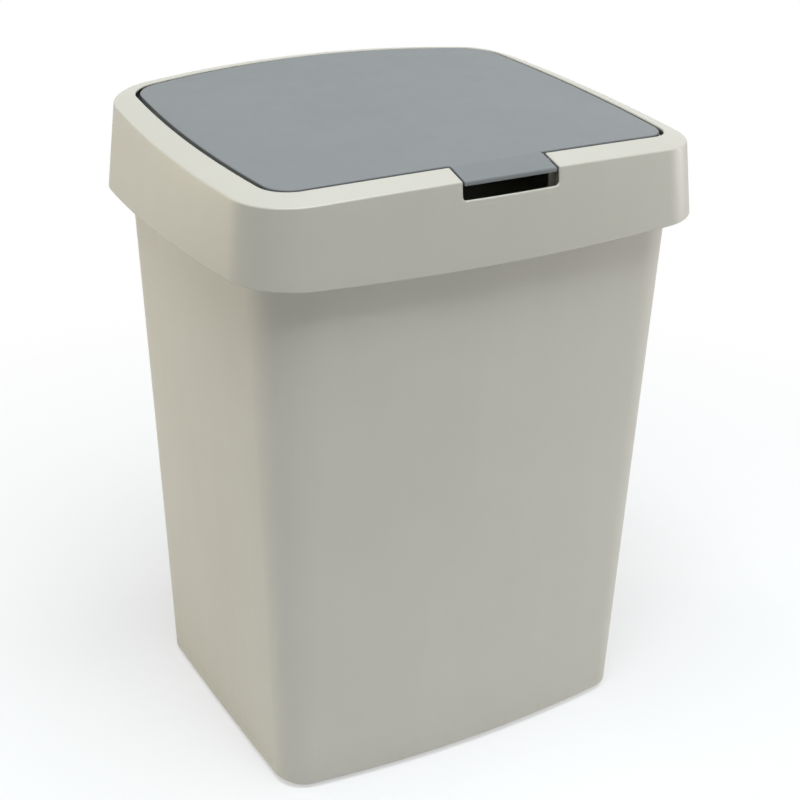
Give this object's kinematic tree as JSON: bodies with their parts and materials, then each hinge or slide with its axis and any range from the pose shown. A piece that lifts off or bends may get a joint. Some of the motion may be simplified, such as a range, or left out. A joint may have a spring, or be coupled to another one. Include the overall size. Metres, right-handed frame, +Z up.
{
  "type": "flap-lid waste bin",
  "caption": "Tall tapered kitchen waste bin in warm greige plastic, with a lift-off lid frame and a grey front-opening flap with a finger tab.",
  "frame": {"origin": "on the floor, under the middle of the bucket", "axes": "+Z up, the finger tab and slot face -Y, and +X is to the right of a person who faces the tab"},
  "size_m": [0.411, 0.3534, 0.5372],
  "materials": {
    "bucket_plastic": "matte warm greige",
    "frame_plastic": "matte warm greige",
    "flap_plastic": "satin grey",
    "pin_plastic": "satin grey"
  },
  "bodies": {
    "bin": {"bucket": "bucket_plastic"},
    "lid": {"lid_frame": "frame_plastic", "hinge_pin_left": "pin_plastic", "hinge_pin_right": "pin_plastic"},
    "flap": {"flap": "flap_plastic"}
  },
  "joints": [
    {"name": "lid_lift", "type": "slide", "parent": "bin", "child": "lid", "axis": [0, 0, 1], "range_m": [0, 0.06]},
    {"name": "flap_hinge", "type": "hinge", "parent": "lid", "child": "flap", "pos_m": [0, 0.11085, 0.5214], "axis": [-1, 0, 0], "range_deg": [0, 110]}
  ]
}
